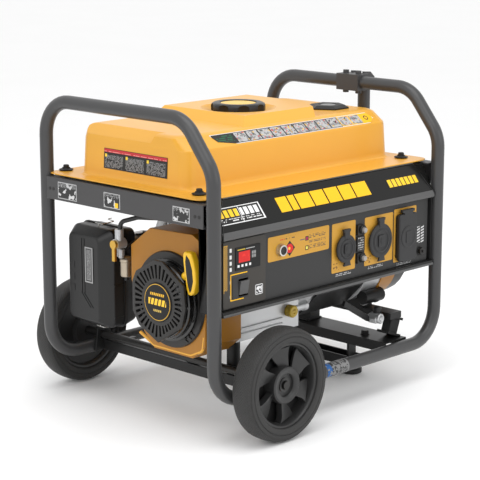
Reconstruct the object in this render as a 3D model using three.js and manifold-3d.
// Portable open-frame generator on two wheels, modelled as an assembly of named solids.
// Millimetres, +Z up. X runs along the control panel: -X is the recoil starter's end, +X the handle's.
// -Y is the control panel's side. The origin is on the ground below the middle of the frame.
import * as THREE from 'three';
import { mergeVertices } from 'three/addons/utils/BufferGeometryUtils.js';
import Module from 'manifold-3d';

const wasm = await Module();
wasm.setup();

// ---------- Driving dimensions ----------
const WELD_GAP = 0.3;            // between pieces that touch
const RUNNING_GAP = 0.6;         // between pieces that move past each other
const TUBE_R = 14;               // frame tube
const TUBE_WALL = 2;
const LEG_X = 337;               // leg centre lines
const LEG_Y = 243;
const TOP_Z = 629;               // centre line of the hoops' top runs
const RAIL_Z = 87;               // centre line of the bottom rails
const KINK_Z = 532;              // where the front legs start to lean back
const LEAN_BACK = 77.5;          // the leaning front legs meet the top runs this far behind their feet
const TOP_FRONT_Y = LEAN_BACK - LEG_Y;
const BEND_R = 72;               // tube bends
const SHEET = 3;                 // pressed steel brackets and covers
const CROSSBAR_Z = 428;          // underside of the upper crossbars
const CROSSBAR_H = 46;
const CROSSBAR_FLANGE = 66;
const CROSS_MEMBER_H = 22;       // lower cross-members
const LEFT_MEMBER = { x: -185, width: 44 };
const RIGHT_MEMBER = { x: 225, width: 70 };
const WHEEL_R = 113;
const WHEEL_W = 52;
const WHEEL_GAP = 11;            // between a frame tube and the wheel beside it
const WHEEL_X = -209;
const AXLE_R = 8;
const FOOT_R = 24;
const FOOT_H = 18;
const FOOT_X = 236;
const FOOT_Y = 95;
const CRANK_Y = -86;             // crankshaft axis
const CRANK_Z = 261;
const TANK_HALF = LEG_X - TUBE_R - 18;  // the tank's ends stay inside the legs
const TANK_FRONT = 105 - LEG_Y;    // clear of the hood
const TANK_BACK = LEG_Y - 63;
const TANK_FLANGE_Z = CROSSBAR_Z + CROSSBAR_H + 4;
const TANK_H = 120;
const TANK_WALL = 2.5;
const CAP = { x: -2, y: 22, r: 57, neck: 20 };
const GAUGE = { x: TANK_HALF - 79, y: -27, r: 16 };
const TANK_BOLT = { x: LEG_X - 34, front: 73 - LEG_Y, back: LEG_Y - 20 };
const PANEL_FRONT = -LEG_Y - 7;    // foremost edge of the control box
const PANEL_BACK = 59 - LEG_Y;
const PANEL_RECESS = 11;         // the face plate stands behind the lip by this
const PANEL_BOTTOM = CROSSBAR_Z - 173;
const PANEL_TOP = CROSSBAR_Z - 15;
const HOOD_TOP = CROSSBAR_Z + CROSSBAR_H + 2;
const HOOD_HIP = 43;             // the hood's ends slope in by this
const PLATE_T = 4;
const PIVOT = { x: LEG_X + TUBE_R + 27, z: TOP_Z - 1 };  // hinge pin of the handle
const STEM_LENGTH = 392;
const GRIP_LENGTH = 190;

// ---------- Small helpers ----------
const finish = (color, roughness, metalness) => new THREE.MeshStandardMaterial({ color, roughness, metalness });
const FRAME_PAINT = finish(0x4b4b4d, 0.45, 0.3);
const TANK_PAINT = finish(0xf0b040, 0.3, 0.1);
const BLACK_PAINT = finish(0x262624, 0.35, 0.2);
const BLACK_PLASTIC = finish(0x2a2a2b, 0.5, 0);
const GREY_PLASTIC = finish(0x4a4a4b, 0.5, 0);
const YELLOW_PLASTIC = finish(0xf0cb37, 0.4, 0);
const RUBBER = finish(0x1e1e1f, 0.85, 0);
const ALUMINIUM = finish(0xb6b8ba, 0.4, 0.8);
const STEEL = finish(0x8f9194, 0.35, 0.9);
const BRASS = finish(0xb98f3c, 0.35, 0.9);

// Turns a triangle mesh inside out if it points inwards.
function outward(geometry) {
  const p = geometry.attributes.position;
  const index = geometry.index.array;
  const [a, b, c] = [new THREE.Vector3(), new THREE.Vector3(), new THREE.Vector3()];
  let volume = 0;
  for (let i = 0; i < index.length; i += 3) {
    a.fromBufferAttribute(p, index[i]);
    b.fromBufferAttribute(p, index[i + 1]);
    c.fromBufferAttribute(p, index[i + 2]);
    volume += a.dot(b.cross(c));
  }
  if (volume < 0) {
    for (let i = 0; i < index.length; i += 3) [index[i], index[i + 1]] = [index[i + 1], index[i]];
  }
  return geometry;
}

function clean(geometry) {
  geometry.deleteAttribute('normal');
  geometry.deleteAttribute('uv');
  return outward(mergeVertices(geometry, 1e-4));
}

function toManifold(geometry) {
  const vertProperties = new Float32Array(geometry.attributes.position.array);
  const triVerts = new Uint32Array(geometry.index.array);
  return new wasm.Manifold(new wasm.Mesh({ numProp: 3, vertProperties, triVerts }));
}

function fromManifold(solid) {
  const mesh = solid.getMesh();
  const geometry = new THREE.BufferGeometry();
  geometry.setAttribute('position', new THREE.BufferAttribute(new Float32Array(mesh.vertProperties), 3));
  geometry.setIndex(new THREE.BufferAttribute(new Uint32Array(mesh.triVerts), 1));
  return geometry;
}

function join(first, ...others) {
  return fromManifold(others.reduce((sum, g) => sum.add(toManifold(g)), toManifold(first)));
}

function cut(first, ...tools) {
  return fromManifold(tools.reduce((rest, g) => rest.subtract(toManifold(g)), toManifold(first)));
}

function common(first, second) {
  return fromManifold(toManifold(first).intersect(toManifold(second)));
}

const moved = (geometry, x, y, z) => geometry.clone().translate(x, y, z);
const outline = (points) => new THREE.Shape(points.map(([u, v]) => new THREE.Vector2(u, v)));
const BASIS = {
  x: new THREE.Matrix4().set(0, 0, 1, 0, 1, 0, 0, 0, 0, 1, 0, 0, 0, 0, 0, 1),
  y: new THREE.Matrix4().set(0, 1, 0, 0, 0, 0, 1, 0, 1, 0, 0, 0, 0, 0, 0, 1),
  z: new THREE.Matrix4(),
};

// Extrudes an outline along one axis, from one place to another. Outlines are [y, z] for x,
// [x, z] for y and [x, y] for z.
function slab(axis, points, from, to) {
  const corners = axis === 'y' ? points.map(([x, z]) => [z, x]) : points;
  const solid = new THREE.ExtrudeGeometry(outline(corners), { depth: to - from, bevelEnabled: false });
  solid.translate(0, 0, from);
  return clean(solid.applyMatrix4(BASIS[axis]));
}

// A box between two corners.
const block = ([x0, y0, z0], [x1, y1, z1]) => {
  const box = new THREE.BoxGeometry(x1 - x0, y1 - y0, z1 - z0);
  return clean(box.translate((x0 + x1) / 2, (y0 + y1) / 2, (z0 + z1) / 2));
};

// A turned piece: the profile is [radius, place along the axis], closed on the axis or on itself.
function turned(axis, profile, sides = 24) {
  const ring = profile[0][0] > 0 ? [...profile, profile[0]] : profile;
  const lathe = new THREE.LatheGeometry(ring.map(([r, t]) => new THREE.Vector2(r, t)), sides);
  if (axis === 'x') lathe.rotateZ(-Math.PI / 2);
  if (axis === 'z') lathe.rotateX(Math.PI / 2);
  return clean(lathe);
}

// A plain round bar along an axis.
const bar = (axis, r, from, to, sides = 24) => turned(axis, [[0, from], [r, from], [r, to], [0, to]], sides);

function rectangle(width, height, [u, v] = [0, 0], chamfer = 0) {
  const [w, h, c] = [width / 2, height / 2, chamfer];
  const corners = c > 0
    ? [[-w, -h + c], [-w + c, -h], [w - c, -h], [w, -h + c], [w, h - c], [w - c, h], [-w + c, h], [-w, h - c]]
    : [[-w, -h], [w, -h], [w, h], [-w, h]];
  return corners.map(([x, y]) => [u + x, v + y]);
}

// The same by its sides' places, with its corners cut off.
function chamfered([left, right], [low, high], chamfer) {
  return rectangle(right - left, high - low, [(left + right) / 2, (low + high) / 2], chamfer);
}

// A curve that stops only at its stations, so that straight stretches take one step.
class StationCurve extends THREE.Curve {
  constructor(stations) {
    super();
    this.stations = stations;
  }

  getPoint(t, target = new THREE.Vector3()) {
    const place = t * (this.stations.length - 1);
    const i = Math.min(Math.floor(place), this.stations.length - 2);
    return target.copy(this.stations[i]).lerp(this.stations[i + 1], place - i);
  }

  getPointAt(u, target) {
    return this.getPoint(u, target);
  }

  getTangentAt(u, target = new THREE.Vector3()) {
    const last = this.stations.length - 1;
    const i = Math.round(u * last);
    const into = this.stations[Math.max(i, 1)].clone().sub(this.stations[Math.max(i, 1) - 1]).normalize();
    const outOf = this.stations[Math.min(i + 1, last)].clone().sub(this.stations[Math.min(i, last - 1)]).normalize();
    return target.copy(into).add(outOf).normalize();
  }
}

// Round tube through corner points, with each inner corner bent to a radius.
function bentTube(corners, r, bendRadius, sides = 12, arcSteps = 4) {
  const points = corners.map((c) => new THREE.Vector3(...c));
  const stations = [points[0]];
  for (let i = 1; i < points.length - 1; i += 1) {
    const into = points[i].clone().sub(points[i - 1]).normalize();
    const outOf = points[i + 1].clone().sub(points[i]).normalize();
    const turn = into.angleTo(outOf);
    const inward = outOf.clone().addScaledVector(into, -Math.cos(turn)).normalize();
    const start = points[i].clone().addScaledVector(into, -bendRadius * Math.tan(turn / 2));
    const centre = start.clone().addScaledVector(inward, bendRadius);
    for (let k = 0; k <= arcSteps; k += 1) {
      const angle = (turn * k) / arcSteps;
      const onArc = centre.clone().addScaledVector(inward, -bendRadius * Math.cos(angle));
      stations.push(onArc.addScaledVector(into, bendRadius * Math.sin(angle)));
    }
  }
  stations.push(points[points.length - 1]);
  const ring = [];
  for (let k = 0; k < sides; k += 1) {
    const angle = (2 * Math.PI * k) / sides;
    ring.push([r * Math.cos(angle), r * Math.sin(angle)]);
  }
  const extrudePath = new StationCurve(stations);
  return clean(new THREE.ExtrudeGeometry(outline(ring), { steps: stations.length - 1, extrudePath }));
}

const generator = new THREE.Group();

function part(name, geometry, material, place = [0, 0, 0], group = generator) {
  const mesh = new THREE.Mesh(geometry, material);
  mesh.name = name;
  mesh.position.set(...place);
  group.add(mesh);
  return mesh;
}

const SIDES = [['left', -1], ['right', 1]];
const FRONT_BACK = [['front', -1], ['back', 1]];

// ---------- Frame ----------
const railEnd = RIGHT_MEMBER.x + 20;    // the rails meet the hoops on the right cross-member
const railTop = RAIL_Z + TUBE_R;
const insideLegs = LEG_Y - TUBE_R - WELD_GAP;

// Handle clamp bolts pass through the right hoop's top run.
const CLAMP = { width: 62, half: TUBE_R + SHEET, bolt: 3, boltY: 18 };

function hoop(side) {
  const x = side * LEG_X;
  const path = [[side * railEnd, -LEG_Y, RAIL_Z], [x, -LEG_Y, RAIL_Z], [x, -LEG_Y, KINK_Z],
    [x, TOP_FRONT_Y, TOP_Z], [x, LEG_Y, TOP_Z], [x, LEG_Y, RAIL_Z], [side * railEnd, LEG_Y, RAIL_Z]];
  const bore = path.map((corner) => [...corner]);
  for (const end of [bore[0], bore[bore.length - 1]]) end[0] -= side;
  return cut(bentTube(path, TUBE_R, BEND_R), bentTube(bore, TUBE_R - TUBE_WALL, BEND_R, 8));
}

const boltHole = bar('z', CLAMP.bolt + WELD_GAP, TOP_Z - 2 * TUBE_R, TOP_Z + 2 * TUBE_R, 10);
const boltHoles = [-CLAMP.boltY, CLAMP.boltY].map((y) => moved(boltHole, LEG_X, y, 0));
part('hoop_left', hoop(-1), FRAME_PAINT);
part('hoop_right', cut(hoop(1), ...boltHoles), FRAME_PAINT);
for (const [name, side] of FRONT_BACK) {
  const length = railEnd - WELD_GAP;
  const bore = bar('x', TUBE_R - TUBE_WALL, -length - 1, length + 1, 8);
  const tube = cut(bar('x', TUBE_R, -length, length, 12), bore);
  part(`rail_${name}`, tube, FRAME_PAINT, [0, side * LEG_Y, RAIL_Z]);
}

// Upper crossbars carry the tank on an inward flange, which stops short of the control box.
const boxHalf = LEG_X - TUBE_R - SHEET;
const LOWER_FLANGE = 20;
const boxSpace = block([-boxHalf - WELD_GAP, -LEG_Y, CROSSBAR_Z], [boxHalf + WELD_GAP, PANEL_BACK + WELD_GAP, HOOD_TOP]);
for (const [name, side] of SIDES) {
  const profile = [[0, 0], [LOWER_FLANGE, 0], [LOWER_FLANGE, SHEET], [SHEET, SHEET], [SHEET, CROSSBAR_H - SHEET],
    [CROSSBAR_FLANGE, CROSSBAR_H - SHEET], [CROSSBAR_FLANGE, CROSSBAR_H], [0, CROSSBAR_H]];
  const face = LEG_X + TUBE_R;
  const placed = profile.map(([u, v]) => [side * (face - u), CROSSBAR_Z + v]);
  const hole = bar('z', 5, CROSSBAR_Z, CROSSBAR_Z + CROSSBAR_H + SHEET, 10);
  const holes = [TANK_BOLT.front, TANK_BOLT.back].map((y) => moved(hole, side * TANK_BOLT.x, y, 0));
  part(`crossbar_${name}`, cut(slab('y', placed, -insideLegs, insideLegs), boxSpace, ...holes), FRAME_PAINT);
}

// An upside-down channel between the rails.
function channel({ x, width }, height) {
  const [w, t, low] = [width / 2, SHEET, railTop - height];
  const profile = [[-w, low], [-w + t, low], [-w + t, railTop - t], [w - t, railTop - t], [w - t, low], [w, low],
    [w, railTop], [-w, railTop]];
  return slab('y', profile.map(([u, v]) => [x + u, v]), -insideLegs, insideLegs);
}

// The left cross-member ends in two plates that hold the axle.
const axlePlate = [[WHEEL_X - 24, railTop - CROSS_MEMBER_H], [LEFT_MEMBER.x, railTop - CROSS_MEMBER_H],
  [LEFT_MEMBER.x, railTop], [WHEEL_X + 16, WHEEL_R + 18], [WHEEL_X - 16, WHEEL_R + 18]];
const axleBore = moved(bar('y', AXLE_R + WELD_GAP, -LEG_Y, LEG_Y, 16), WHEEL_X, 0, WHEEL_R);
part('cross_member_left', cut(join(channel(LEFT_MEMBER, CROSS_MEMBER_H),
  slab('y', axlePlate, -insideLegs, -insideLegs + 2 * SHEET),
  slab('y', axlePlate, insideLegs - 2 * SHEET, insideLegs)), axleBore), BLACK_PAINT);

// The right cross-member stands on a low stand with two rubber feet.
const standTop = railTop - SHEET / 2;
const standWidth = 40;
const trough = [[-standWidth / 2, 22], [-standWidth / 2, 0], [standWidth / 2, 0], [standWidth / 2, 22],
  [standWidth / 2 - SHEET, 22], [standWidth / 2 - SHEET, SHEET], [-standWidth / 2 + SHEET, SHEET],
  [-standWidth / 2 + SHEET, 22]].map(([u, v]) => [FOOT_X + u, FOOT_H + WELD_GAP + v]);
const stand = slab('y', trough, -FOOT_Y - 26, FOOT_Y + 26);
const POST_HALF = 12;
const posts = [-FOOT_Y, FOOT_Y].map((y) => block([FOOT_X - POST_HALF, y - SHEET, FOOT_H + 1],
  [FOOT_X + POST_HALF, y + SHEET, standTop]));
part('cross_member_right', join(channel(RIGHT_MEMBER, CROSS_MEMBER_H), stand, ...posts), BLACK_PAINT);
for (const [name, side] of FRONT_BACK) {
  const foot = [[0, 0], [FOOT_R, 0], [FOOT_R, FOOT_H * 0.6], [FOOT_R - 5, FOOT_H], [0, FOOT_H]];
  part(`foot_${name}`, turned('z', foot), RUBBER, [FOOT_X, side * FOOT_Y, 0]);
}

// ---------- Axle and wheels ----------
const wheelOuter = LEG_Y + TUBE_R + WHEEL_GAP + WHEEL_W;
const axleEnd = wheelOuter - 8;
part('axle', bar('y', AXLE_R, -axleEnd, axleEnd, 16), STEEL, [WHEEL_X, 0, WHEEL_R]);

const RIM_R = 84;
const HUB_R = 36;
const SPOKES = 6;
const WHEEL_SIDES = 32;
function tyre() {
  const w = WHEEL_W / 2;
  return turned('y', [[RIM_R, -w + 6], [RIM_R + 14, -w], [WHEEL_R - 4, -w + 4], [WHEEL_R, -w + 13],
    [WHEEL_R, w - 13], [WHEEL_R - 4, w - 4], [RIM_R + 14, w], [RIM_R, w - 6]], WHEEL_SIDES);
}

function rim() {
  const w = WHEEL_W / 2 - 6;
  const web = 6;
  const ring = RIM_R - WELD_GAP;
  const bore = AXLE_R + RUNNING_GAP;
  const disc = turned('y', [[bore, -w], [HUB_R, -w], [HUB_R, -web], [ring - 7, -web], [ring - 5, -w], [ring, -w],
    [ring, w], [ring - 5, w], [ring - 7, web], [HUB_R, web], [HUB_R, w], [bore, w]], WHEEL_SIDES);
  const window = slab('y', [[-13, HUB_R + 6], [13, HUB_R + 6], [20, ring - 12], [-12, ring - 12]], -w, w);
  const windows = [];
  for (let i = 0; i < SPOKES; i += 1) windows.push(window.clone().rotateY((2 * Math.PI * i) / SPOKES));
  return cut(disc, ...windows);
}

for (const [name, side] of FRONT_BACK) {
  const wheel = new THREE.Group();
  wheel.position.set(WHEEL_X, side * (wheelOuter - WHEEL_W / 2), WHEEL_R);
  generator.add(wheel);
  part(`tyre_${name}`, tyre(), RUBBER, [0, 0, 0], wheel);
  part(`rim_${name}`, rim(), GREY_PLASTIC, [0, 0, 0], wheel);
}

// ---------- Fuel tank ----------
// The upper shell is where a lengthways and a crossways outline meet.
function tankBody(inset) {
  const half = TANK_HALF - inset;
  const low = TANK_FLANGE_Z - (inset > 0 ? 10 : 0);
  const top = TANK_FLANGE_Z + TANK_H - inset;
  const [front, back] = [TANK_FRONT + inset, TANK_BACK - inset];
  const across = [[front, low], [back, low], [back - 3, top - 20], [back - 22, top], [front + 55, top],
    [front + 35, top - 18], [front + 6, top - 42]];
  const along = [[-half, low], [half, low], [half - 6, top - 34], [half - 22, top - 14], [half - 128, top - 12],
    [half - 142, top], [-half + 36, top], [-half + 8, top - 26]];
  return common(slab('x', across, -half, half), slab('y', along, front - 1, back + 1));
}

// Its flange reaches over both crossbars.
const FLANGE_CORNER = TUBE_R + 12;
const tankFlange = chamfered([-LEG_X - 6, LEG_X + 6], [26 - LEG_Y, LEG_Y - 3], FLANGE_CORNER);
const tankTop = TANK_FLANGE_Z + TANK_H;
const neckTop = tankTop + 6;
function tankUpper() {
  const flange = slab('z', tankFlange, TANK_FLANGE_Z, TANK_FLANGE_Z + TANK_WALL);
  const neck = moved(bar('z', CAP.neck + TANK_WALL, tankTop - 12, neckTop, 24), CAP.x, CAP.y, 0);
  const neckHole = moved(bar('z', CAP.neck, tankTop - 30, neckTop + 1, 24), CAP.x, CAP.y, 0);
  const gaugeHole = moved(bar('z', GAUGE.r - 3, tankTop - 40, tankTop + 1, 16), GAUGE.x, GAUGE.y, 0);
  const hole = bar('z', 5, TANK_FLANGE_Z - 1, TANK_FLANGE_Z + 5, 10);
  const holes = [];
  for (const x of [-TANK_BOLT.x, TANK_BOLT.x]) {
    for (const y of [TANK_BOLT.front, TANK_BOLT.back]) holes.push(moved(hole, x, y, 0));
  }
  return cut(join(tankBody(0), flange, neck), tankBody(TANK_WALL), neckHole, gaugeHole, ...holes);
}

const PAN = { half: TANK_HALF - 29, front: TANK_FRONT + 13, back: TANK_BACK - 15, depth: 50, shallow: 18 };
function panBody(inset) {
  const half = PAN.half - inset;
  const top = TANK_FLANGE_Z - WELD_GAP + (inset > 0 ? 5 : 0);
  const [deep, shallow] = [TANK_FLANGE_Z - PAN.depth + inset, TANK_FLANGE_Z - PAN.shallow + inset];
  const along = [[-half, top], [-half + 14, shallow], [-50, deep], [50, deep], [half - 14, shallow], [half, top]];
  return slab('y', along, PAN.front + inset, PAN.back - inset);
}

function tankLower() {
  const lip = 8;
  const seamOutline = chamfered([-PAN.half - lip, PAN.half + lip], [PAN.front - lip, PAN.back + lip], 0);
  const seam = slab('z', seamOutline, TANK_FLANGE_Z - WELD_GAP - TANK_WALL, TANK_FLANGE_Z - WELD_GAP);
  return cut(join(panBody(0), seam), panBody(TANK_WALL));
}

part('tank_upper', tankUpper(), TANK_PAINT);
part('tank_lower', tankLower(), TANK_PAINT);

// Each tank bolt clamps the flange through a rubber cushion.
const flangeUnder = TANK_FLANGE_Z - WELD_GAP;
const barTop = CROSSBAR_Z + CROSSBAR_H;
const tankBolt = [[0, barTop - 16], [7, barTop - 16], [7, barTop - SHEET - WELD_GAP], [4, barTop - SHEET - WELD_GAP],
  [4, barTop + WELD_GAP], [13, barTop + WELD_GAP], [13, flangeUnder], [4, flangeUnder],
  [4, TANK_FLANGE_Z + TANK_WALL + WELD_GAP], [17, TANK_FLANGE_Z + TANK_WALL + WELD_GAP], [13, TANK_FLANGE_Z + 11],
  [7, TANK_FLANGE_Z + 12], [7, TANK_FLANGE_Z + 22], [0, TANK_FLANGE_Z + 22]];
for (const [sideName, side] of SIDES) {
  for (const [endName, y] of [['front', TANK_BOLT.front], ['back', TANK_BOLT.back]]) {
    part(`tank_bolt_${sideName}_${endName}`, turned('z', tankBolt, 12), RUBBER, [side * TANK_BOLT.x, y, 0]);
  }
}

// Filler cap: a rubber gasket sits on the neck, the cap screws down over both.
const gasket = [[CAP.neck - 3, neckTop + WELD_GAP], [CAP.neck + 2.5, neckTop + WELD_GAP],
  [CAP.neck + 2.5, neckTop + 2], [CAP.neck - 3, neckTop + 2]];
part('cap_gasket', turned('z', gasket), RUBBER, [CAP.x, CAP.y, 0]);
const capSkirt = CAP.neck + TANK_WALL + RUNNING_GAP;
part('fuel_cap', turned('z', [[0, neckTop + 2 + WELD_GAP], [capSkirt, neckTop + 2 + WELD_GAP], [capSkirt, tankTop + 1],
  [CAP.r, tankTop + 1], [CAP.r, neckTop + 8], [CAP.r - 3, neckTop + 11], [0, neckTop + 11]], 40), BLACK_PLASTIC,
[CAP.x, CAP.y, 0]);
const gaugeSeat = tankTop - 12 + WELD_GAP;
part('fuel_gauge', turned('z', [[0, gaugeSeat - 30], [3, gaugeSeat - 30], [3, gaugeSeat - 5],
  [GAUGE.r - 3 - RUNNING_GAP, gaugeSeat - 5], [GAUGE.r - 3 - RUNNING_GAP, gaugeSeat], [GAUGE.r, gaugeSeat],
  [GAUGE.r - 2, gaugeSeat + 5], [0, gaugeSeat + 5]], 20), BLACK_PLASTIC, [GAUGE.x, GAUGE.y, 0]);

// ---------- Control box ----------
const windowHalf = boxHalf - 8;
const windowLow = PANEL_BOTTOM + 11;
const windowHigh = PANEL_TOP - 11;
function controlBox() {
  const profile = (t) => [[PANEL_BACK + t, PANEL_BOTTOM + t], [PANEL_FRONT + t, PANEL_BOTTOM + t],
    [PANEL_FRONT + t, PANEL_TOP - t / 2], [PANEL_FRONT + 36 + t / 2, HOOD_TOP - t], [PANEL_BACK + t, HOOD_TOP - t]];
  const hollowHalf = boxHalf - HOOD_HIP;
  const elevation = [[-boxHalf, PANEL_BOTTOM], [boxHalf, PANEL_BOTTOM], [boxHalf, PANEL_TOP],
    [hollowHalf, HOOD_TOP], [-hollowHalf, HOOD_TOP], [-boxHalf, PANEL_TOP]];
  const hood = common(slab('x', profile(0), -boxHalf, boxHalf), slab('y', elevation, PANEL_FRONT - 1, PANEL_BACK + 1));
  const hollow = slab('x', profile(SHEET), -hollowHalf + SHEET, hollowHalf - SHEET);
  const bay = block([-windowHalf, PANEL_FRONT - 1, windowLow], [windowHalf, PANEL_BACK + 1, windowHigh]);
  const backPlate = block([-boxHalf, PANEL_BACK - SHEET, PANEL_BOTTOM], [boxHalf, PANEL_BACK, HOOD_TOP]);
  return join(cut(hood, hollow, bay), backPlate);
}

part('control_box', controlBox(), BLACK_PAINT);

const plateFront = PANEL_FRONT + PANEL_RECESS;
const plateBack = plateFront + PLATE_T;
const SOCKETS = [
  { name: 'small', x: 37, z: 334, r: 27, hinge: 372 },
  { name: 'large', x: 146, z: 334, r: 34, hinge: 380 },
];
const WIDE_SOCKET = { x: 232, z: 331, width: 58, height: 96, hinge: 386 };
const BREAKERS = [{ name: 'upper', x: 90, z: 365 }, { name: 'lower', x: 90, z: 306 }];
const CO_BUTTON = { x: -152, z: 360 };
const ROCKER = { x: -256.5, z: 305.5, width: 25, height: 35 };
const BUTTON_R = 6;
const BUTTON_GUIDE = 8;

function controlPanel() {
  const edge = WELD_GAP;
  const [halfLength, low, high] = [windowHalf - edge, windowLow + edge, windowHigh - edge];
  const plate = block([-halfLength, plateFront, low], [halfLength, plateBack, high]);
  const bore = (r, sides) => bar('y', r, plateFront - 1, plateBack + 1, sides);
  const holes = SOCKETS.map(({ x, z, r }) => moved(bore(r - 4, 28), x, 0, z));
  for (const { x, z } of [...BREAKERS, CO_BUTTON]) holes.push(moved(bore(BUTTON_R + RUNNING_GAP, 18), x, 0, z));
  const wide = rectangle(WIDE_SOCKET.width - 10, WIDE_SOCKET.height - 14, [WIDE_SOCKET.x, WIDE_SOCKET.z]);
  const rocker = rectangle(ROCKER.width, ROCKER.height, [ROCKER.x, ROCKER.z]);
  holes.push(slab('y', wide, plateFront - 1, plateBack + 1), slab('y', rocker, plateFront - 1, plateBack + 1));
  return cut(plate, ...holes);
}

part('control_panel', controlPanel(), GREY_PLASTIC);

// Sockets: a flange in front of the plate and a body behind it. Their covers hinge along the top.
const flangeBack = plateFront - WELD_GAP;
const flangeFront = flangeBack - 4;
const coverBack = flangeFront - WELD_GAP;
const coverFront = coverBack - 8;
const socketDepth = 32;
for (const { name, x, z, r } of SOCKETS) {
  const body = [[0, flangeFront], [r, flangeFront], [r, flangeBack], [r - 4 - WELD_GAP, flangeBack],
    [r - 4 - WELD_GAP, plateBack + socketDepth], [0, plateBack + socketDepth]];
  part(`socket_${name}`, turned('y', body, 28), BLACK_PLASTIC, [x, 0, z]);
}
const { width: wideW, height: wideH } = WIDE_SOCKET;
const wideBody = rectangle(wideW - 10 - 2 * WELD_GAP, wideH - 14 - 2 * WELD_GAP);
part('socket_wide', join(slab('y', rectangle(wideW, wideH), flangeFront, flangeBack),
  slab('y', wideBody, flangeFront + 1, plateBack + socketDepth)), BLACK_PLASTIC, [WIDE_SOCKET.x, 0, WIDE_SOCKET.z]);

function hingedCover(lid, tabHalf, drop, latch) {
  const tab = block([-tabHalf, coverFront + 2, -drop], [tabHalf, coverBack, 4]);
  const grip = block([-tabHalf * 0.8, coverFront, latch], [tabHalf * 0.8, coverBack, latch + 14]);
  return join(lid, tab, grip);
}
for (const { name, x, z, r, hinge } of SOCKETS) {
  const lid = moved(turned('y', [[0, coverFront], [r - 2, coverFront], [r + 2, coverFront + 3], [r + 2, coverBack],
    [0, coverBack]], 28), 0, 0, z - hinge);
  part(`socket_cover_${name}`, hingedCover(lid, 9, hinge - z, z - hinge - r - 9), BLACK_PLASTIC, [x, 0, hinge]);
}
const wideDrop = WIDE_SOCKET.z - WIDE_SOCKET.hinge;
const wideLid = slab('y', rectangle(wideW + 2, wideH + 2, [0, wideDrop], 5), coverFront - 2, coverBack);
part('socket_cover_wide', hingedCover(wideLid, 10, 20, wideDrop - wideH / 2 - 7), BLACK_PLASTIC,
  [WIDE_SOCKET.x, 0, WIDE_SOCKET.hinge]);

// Push buttons: a cap in front and a stem through the plate.
const pushButton = (r, front) => turned('y', [[0, front], [r, front], [r, front + 7], [BUTTON_R, front + 7],
  [BUTTON_R, plateBack + 8], [0, plateBack + 8]], 18);
for (const { name, x, z } of BREAKERS) {
  part(`breaker_button_${name}`, pushButton(BUTTON_R, plateFront - 15), STEEL, [x, 0, z]);
}
part('co_test_button', pushButton(BUTTON_GUIDE, plateFront - 12), STEEL, [CO_BUTTON.x, 0, CO_BUTTON.z]);

// The rocker is stored tipped to its off side.
const rockerTilt = THREE.MathUtils.degToRad(10);
const rockerBody = slab('x', [[-6, -ROCKER.height / 2 + 3], [-6, ROCKER.height / 2 - 3], [8, 9], [8, -9]],
  -ROCKER.width / 2 + RUNNING_GAP, ROCKER.width / 2 - RUNNING_GAP);
const rocker = part('rocker_switch', rockerBody, BLACK_PLASTIC, [ROCKER.x, plateFront, ROCKER.z]);
rocker.rotation.x = rockerTilt;

// ---------- Engine, in a group on the crankshaft's axis ----------
const engine = new THREE.Group();
engine.position.set(0, CRANK_Y, CRANK_Z);
generator.add(engine);

const CASE = { left: -198, right: -15, half: 78, low: -94, high: 66 };
const CYLINDER = { x: -108, r: 50, length: 150, lean: THREE.MathUtils.degToRad(25) };
const SHAFT_R = 14;
const OIL = { x: -45, z: -56 };
const leaning = (geometry) => geometry.rotateX(CYLINDER.lean).translate(CYLINDER.x, 0, 0);

function engineBlock() {
  const crankcase = slab('x', [[-CASE.half, CASE.low], [CASE.half, CASE.low], [CASE.half, 20], [30, CASE.high],
    [-30, CASE.high], [-CASE.half, 20]], CASE.left, CASE.right);
  const barrel = leaning(bar('y', CYLINDER.r, 20, CYLINDER.length, 24));
  const bore = leaning(bar('y', 35, 20, CYLINDER.length + 1, 20));
  const chamber = bar('x', 46, CASE.left + 12, CASE.right - 12, 20);
  const shaftHole = bar('x', SHAFT_R + RUNNING_GAP, CASE.left - 1, CASE.right + 1, 16);
  const filler = moved(bar('y', 9, -CASE.half - 1, -CASE.half + 26, 14), OIL.x, 0, OIL.z);
  return cut(join(crankcase, barrel), bore, chamber, shaftHole, filler);
}
part('engine_block', engineBlock(), ALUMINIUM, [0, 0, 0], engine);
part('oil_cap', turned('y', [[0, -CASE.half - 16], [13, -CASE.half - 16], [13, -CASE.half - WELD_GAP],
  [7, -CASE.half - WELD_GAP], [7, -CASE.half + 20], [0, -CASE.half + 20]], 18), YELLOW_PLASTIC, [OIL.x, 0, OIL.z], engine);

// Cylinder head and rocker cover on the leaning barrel.
const HEAD = { half: 56, height: 46 };
const headStart = CYLINDER.length + WELD_GAP;
const headTop = headStart + HEAD.height;
const headBlock = block([-HEAD.half, headStart, -HEAD.half], [HEAD.half, headTop, HEAD.half]);
const rockerCover = block([-44, headTop - 1, -42], [44, headTop + 28, 42]);
part('cylinder_head', leaning(join(headBlock, rockerCover)), ALUMINIUM, [0, 0, 0], engine);

// Blower shroud: a hollow cover over the flywheel, open at the back.
const SHROUD = { front: -300, back: -200.5, wall: 3 };
const shroudOutline = (t) => [[116 - t, 20], [116 - t, 92 - t], [60, 134 - t], [-60, 138 - t], [-95 + t, 120 - t],
  [-95 + t, -80 + t], [-60, -109 + t], [50, -109 + t], [80 - t, -80 + t]];
const FAN_R = 70;
part('blower_shroud', cut(slab('x', shroudOutline(0), SHROUD.front, SHROUD.back),
  slab('x', shroudOutline(SHROUD.wall), SHROUD.front + SHROUD.wall, SHROUD.back + 1),
  bar('x', FAN_R - 6, SHROUD.front - 1, SHROUD.front + 10, 28)), TANK_PAINT, [0, 0, 0], engine);

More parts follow.
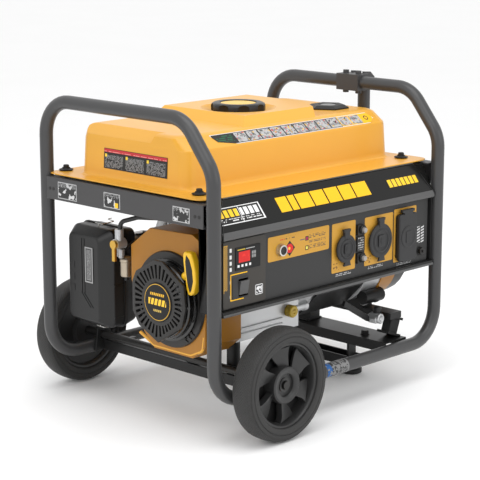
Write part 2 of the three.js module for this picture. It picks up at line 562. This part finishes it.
// Recoil starter cover: a hollow eight-sided cup with a boss for the pulley.
const RECOIL = { front: -335, wall: 3, boss: 8 };
const recoilHalf = [[11, 83], [71, 38], [76, -2], [66, -42], [9, -83]];
const recoilOutline = (t) => {
  const right = recoilHalf.map(([y, z]) => [y * (1 - t / 80), z * (1 - t / 80)]);
  return [...right, ...right.toReversed().map(([y, z]) => [-y, z])];
};
const recoilBack = SHROUD.front - WELD_GAP;
const ropeSlot = block([RECOIL.front + 8, -90, 52], [recoilBack - 6, -50, 64]);
part('recoil_cover', join(cut(slab('x', recoilOutline(0), RECOIL.front, recoilBack),
  slab('x', recoilOutline(RECOIL.wall), RECOIL.front + RECOIL.wall, recoilBack + 1), ropeSlot),
bar('x', RECOIL.boss, RECOIL.front + 1, recoilBack - 8, 16)), BLACK_PLASTIC, [0, 0, 0], engine);

// Rope pulley on that boss.
const PULLEY = { r: 45, groove: 36 };
const pulleyFront = RECOIL.front + RECOIL.wall + 4;
part('recoil_pulley', turned('x', [[RECOIL.boss + RUNNING_GAP, pulleyFront], [PULLEY.r, pulleyFront],
  [PULLEY.groove, pulleyFront + 5], [PULLEY.groove, pulleyFront + 11], [PULLEY.r, pulleyFront + 16],
  [RECOIL.boss + RUNNING_GAP, pulleyFront + 16]], 28), GREY_PLASTIC, [0, 0, 0], engine);

// Starter grip, a T held against the cover's upper front corner.
const GRIP = { x: -317, y: PANEL_BACK + 20.5, z: 328, tilt: THREE.MathUtils.degToRad(-14) };
const gripSide = [[-8, -43], [6, -43], [13, -22], [13, 22], [6, 43], [-8, 43], [-14, 22], [-14, -22]];
const starterGrip = part('starter_grip', slab('x', gripSide, -10, 10), YELLOW_PLASTIC, [GRIP.x, GRIP.y, GRIP.z]);
starterGrip.rotation.x = GRIP.tilt;

// Crankshaft with its flywheel on one end and the alternator's rotor on the other.
const ALTERNATOR = { start: -14, band: 186, cap: 286, end: 340, r: 88, bore: 64 };
part('crankshaft', turned('x', [[0, -296], [SHAFT_R, -296], [SHAFT_R, -284], [FAN_R - 8, -284], [FAN_R - 8, -264],
  [FAN_R, -264], [FAN_R, -216], [SHAFT_R, -216], [SHAFT_R, 40], [58, 40], [58, 170], [SHAFT_R, 170], [SHAFT_R, 300],
  [0, 300]], 28), STEEL, [0, 0, 0], engine);

// Alternator: stator, rear bell with its feet, and end cover.
const statorWall = 8;
const statorEnd = ALTERNATOR.band - WELD_GAP;
part('alternator_stator', turned('x', [[ALTERNATOR.bore, ALTERNATOR.start + statorWall], [ALTERNATOR.bore, statorEnd],
  [ALTERNATOR.r, statorEnd], [ALTERNATOR.r, ALTERNATOR.start], [SHAFT_R + 2, ALTERNATOR.start],
  [SHAFT_R + 2, ALTERNATOR.start + statorWall]], 28), BLACK_PAINT, [0, 0, 0], engine);
const MOUNT = { x: 232, y: 114, top: 146, plate: 24 };
const bell = turned('x', [[SHAFT_R + 2, ALTERNATOR.cap - WELD_GAP - 8], [ALTERNATOR.bore, ALTERNATOR.cap - WELD_GAP - 8],
  [ALTERNATOR.bore, ALTERNATOR.band], [ALTERNATOR.r + 2, ALTERNATOR.band], [ALTERNATOR.r + 4, ALTERNATOR.cap - WELD_GAP],
  [SHAFT_R + 2, ALTERNATOR.cap - WELD_GAP]], 28);
const footLow = MOUNT.top - CRANK_Z;
const footBar = block([MOUNT.x - 18, -MOUNT.y - 22, footLow], [MOUNT.x + 18, MOUNT.y + 22, footLow + 14]);
const footWeb = block([MOUNT.x - 18, -54, footLow + 12], [MOUNT.x + 18, 54, -70]);
const footBoss = moved(bar('x', 15, 190, 250, 16), 0, -76, -73);
const rotorSpace = bar('x', ALTERNATOR.bore, ALTERNATOR.band - 1, ALTERNATOR.cap - 9, 28);
part('alternator_bell', cut(join(bell, footBar, footWeb, footBoss), rotorSpace), ALUMINIUM, [0, 0, 0], engine);
part('alternator_cover', turned('x', [[ALTERNATOR.r - 4, ALTERNATOR.cap], [ALTERNATOR.r + 4, ALTERNATOR.cap],
  [ALTERNATOR.r + 2, ALTERNATOR.end - 14], [ALTERNATOR.r - 14, ALTERNATOR.end], [0, ALTERNATOR.end],
  [0, ALTERNATOR.end - 4], [ALTERNATOR.r - 18, ALTERNATOR.end - 4], [ALTERNATOR.r - 4, ALTERNATOR.end - 18]], 28),
BLACK_PLASTIC, [0, 0, 0], engine);

// ---------- Rubber mounts ----------
function blockMount(bottom, top) {
  const [w, t, core] = [MOUNT.plate, SHEET, 17];
  return slab('y', [[-w, bottom], [w, bottom], [w, bottom + t], [core, bottom + t], [core, top - t], [w, top - t],
    [w, top], [-w, top], [-w, top - t], [-core, top - t], [-core, bottom + t], [-w, bottom + t]], -18, 18);
}
for (const [name, side] of FRONT_BACK) {
  const y = CRANK_Y + side * MOUNT.y;
  part(`alternator_mount_${name}`, blockMount(railTop + WELD_GAP, MOUNT.top - WELD_GAP), RUBBER, [MOUNT.x, y, 0]);
  const engineFoot = CRANK_Z + CASE.low - WELD_GAP;
  part(`engine_mount_${name}`, bar('z', 13.5, railTop + WELD_GAP, engineFoot, 16), RUBBER,
    [LEFT_MEMBER.x, CRANK_Y + side * 58, 0]);
}

// ---------- Intake, fuel tap and exhaust ----------
const AIR_BOX = { front: -320, split: -268, back: -236, left: 80, right: 210, low: 165, high: 376, wall: 3 };
const airBoxOutline = (t) => chamfered([AIR_BOX.left + t, AIR_BOX.right - t], [AIR_BOX.low + t, AIR_BOX.high - t], 10);
part('air_box_cover', cut(slab('x', airBoxOutline(0), AIR_BOX.front, AIR_BOX.split),
  slab('x', airBoxOutline(AIR_BOX.wall), AIR_BOX.front + AIR_BOX.wall, AIR_BOX.split + 1)), BLACK_PLASTIC);
part('air_box_base', cut(slab('x', airBoxOutline(0), AIR_BOX.split + WELD_GAP, AIR_BOX.back),
  slab('x', airBoxOutline(AIR_BOX.wall), AIR_BOX.split - 1, AIR_BOX.back - AIR_BOX.wall)), BLACK_PLASTIC);

// The carburettor bridges the air box and the cylinder head.
const headLeft = CYLINDER.x - HEAD.half;
const CARB = { y: 100, z: 330 };
const carbAxis = (r, from, to) => moved(bar('x', r, from, to, 16), 0, CARB.y, CARB.z);
part('carburettor', join(carbAxis(18, AIR_BOX.back + WELD_GAP, headLeft - WELD_GAP),
  block([-222, CARB.y - 22, CARB.z - 24], [-184, CARB.y + 22, CARB.z + 22]),
  moved(bar('z', 20, CARB.z - 62, CARB.z - 20, 16), -203, CARB.y, 0)), ALUMINIUM);
const leverHole = CARB.z + 22 + RUNNING_GAP;
part('choke_lever', join(bar('z', 6, 0, 6, 12), block([-24, -4, 0], [0, 4, 4])), BLACK_PLASTIC,
  [-208, CARB.y - 12, leverHole]);

const TAP = { x: -308, y: 56, z: 352 };
const tapFace = -11;
part('fuel_tap', join(bar('z', 9, -6, 30, 14), bar('x', 11, tapFace, 12, 14), bar('z', 5, -26, -2, 10)), ALUMINIUM,
  [TAP.x, TAP.y, TAP.z]);
const leverBack = tapFace - RUNNING_GAP;
const tapArm = block([leverBack - 5, -4, -34], [leverBack, 4, 0]);
part('fuel_tap_lever', join(bar('x', 9, leverBack - 6, leverBack, 14), tapArm), BRASS, [TAP.x, TAP.y, TAP.z]);

const MUFFLER = { left: -30, right: 200, front: 118, back: 206, low: 290, high: 388 };
const TAIL_PIPE = { x: 150, z: 320, r: 14, wall: 3, length: 16 };
function mufflerOutline(t) {
  return chamfered([MUFFLER.front + t, MUFFLER.back - t], [MUFFLER.low + t, MUFFLER.high - t], 24);
}
const exhaustStart = CYLINDER.x + HEAD.half + WELD_GAP;
const exhaust = moved(bar('x', 16, exhaustStart, MUFFLER.left + 2, 16), 0, 146, 352);
const pipeEnd = MUFFLER.back + TAIL_PIPE.length;
const tailPipe = moved(bar('y', TAIL_PIPE.r, MUFFLER.back - 4, pipeEnd, 16), TAIL_PIPE.x, 0, TAIL_PIPE.z);
const pipeBore = moved(bar('y', TAIL_PIPE.r - TAIL_PIPE.wall, MUFFLER.back - 6, pipeEnd + 1, 16), TAIL_PIPE.x, 0, TAIL_PIPE.z);
part('muffler', cut(join(slab('x', mufflerOutline(0), MUFFLER.left, MUFFLER.right), exhaust, tailPipe),
  slab('x', mufflerOutline(2), MUFFLER.left + 2, MUFFLER.right - 2), pipeBore), STEEL);

// ---------- Fold-down handle on the right hoop ----------
const PIN_R = 4;
const CHEEK = 4;
const BOLT_HEAD = { r: 7, height: 8 };
const { half: clampHalf } = CLAMP;
const clampBody = block([-clampHalf - 1, -CLAMP.width / 2, -clampHalf - 1], [clampHalf + 4, CLAMP.width / 2, clampHalf + 1]);
const tubeHole = bar('y', TUBE_R + WELD_GAP, -CLAMP.width, CLAMP.width, 20);
const cheekGap = TUBE_R + RUNNING_GAP;
const pinX = PIVOT.x - LEG_X;
const cheek = (y) => slab('y', [[clampHalf, -22], [pinX, -16], [pinX + 14, -8], [pinX + 14, 8], [pinX, 20],
  [clampHalf, 22]], y, y + CHEEK);
function clampBolt(y) {
  const shank = bar('z', CLAMP.bolt, -clampHalf - 6, clampHalf + 2, 10);
  const head = bar('z', BOLT_HEAD.r, clampHalf, clampHalf + BOLT_HEAD.height, 6);
  const nut = bar('z', BOLT_HEAD.r, -clampHalf - BOLT_HEAD.height, -clampHalf, 6);
  return [shank, head, nut].map((piece) => moved(piece, 0, y, 0));
}
const pin = moved(bar('y', PIN_R, -cheekGap - 2 * CHEEK, cheekGap + 2 * CHEEK, 12), pinX, 0, PIVOT.z - TOP_Z);
part('handle_clamp', join(cut(clampBody, tubeHole), cheek(-cheekGap - CHEEK), cheek(cheekGap), pin,
  ...clampBolt(-CLAMP.boltY), ...clampBolt(CLAMP.boltY)), FRAME_PAINT, [LEG_X, 0, TOP_Z]);

const gripR = TUBE_R + 2;
const stem = bar('z', TUBE_R, -STEM_LENGTH, 12, 16);
const crossGrip = moved(bar('y', gripR, -GRIP_LENGTH / 2, GRIP_LENGTH / 2, 16), 0, 0, -STEM_LENGTH);
const pinBore = bar('y', PIN_R + RUNNING_GAP, -TUBE_R - 1, TUBE_R + 1, 12);
part('handle', cut(join(stem, crossGrip), pinBore), FRAME_PAINT, [PIVOT.x, 0, PIVOT.z]);

// The origin lies below the middle of the whole object's box, whose right side is the folded handle's.
const farRight = PIVOT.x + gripR;
const farLeft = LEG_X + TUBE_R;
generator.position.x = (farLeft - farRight) / 2;

export default generator;
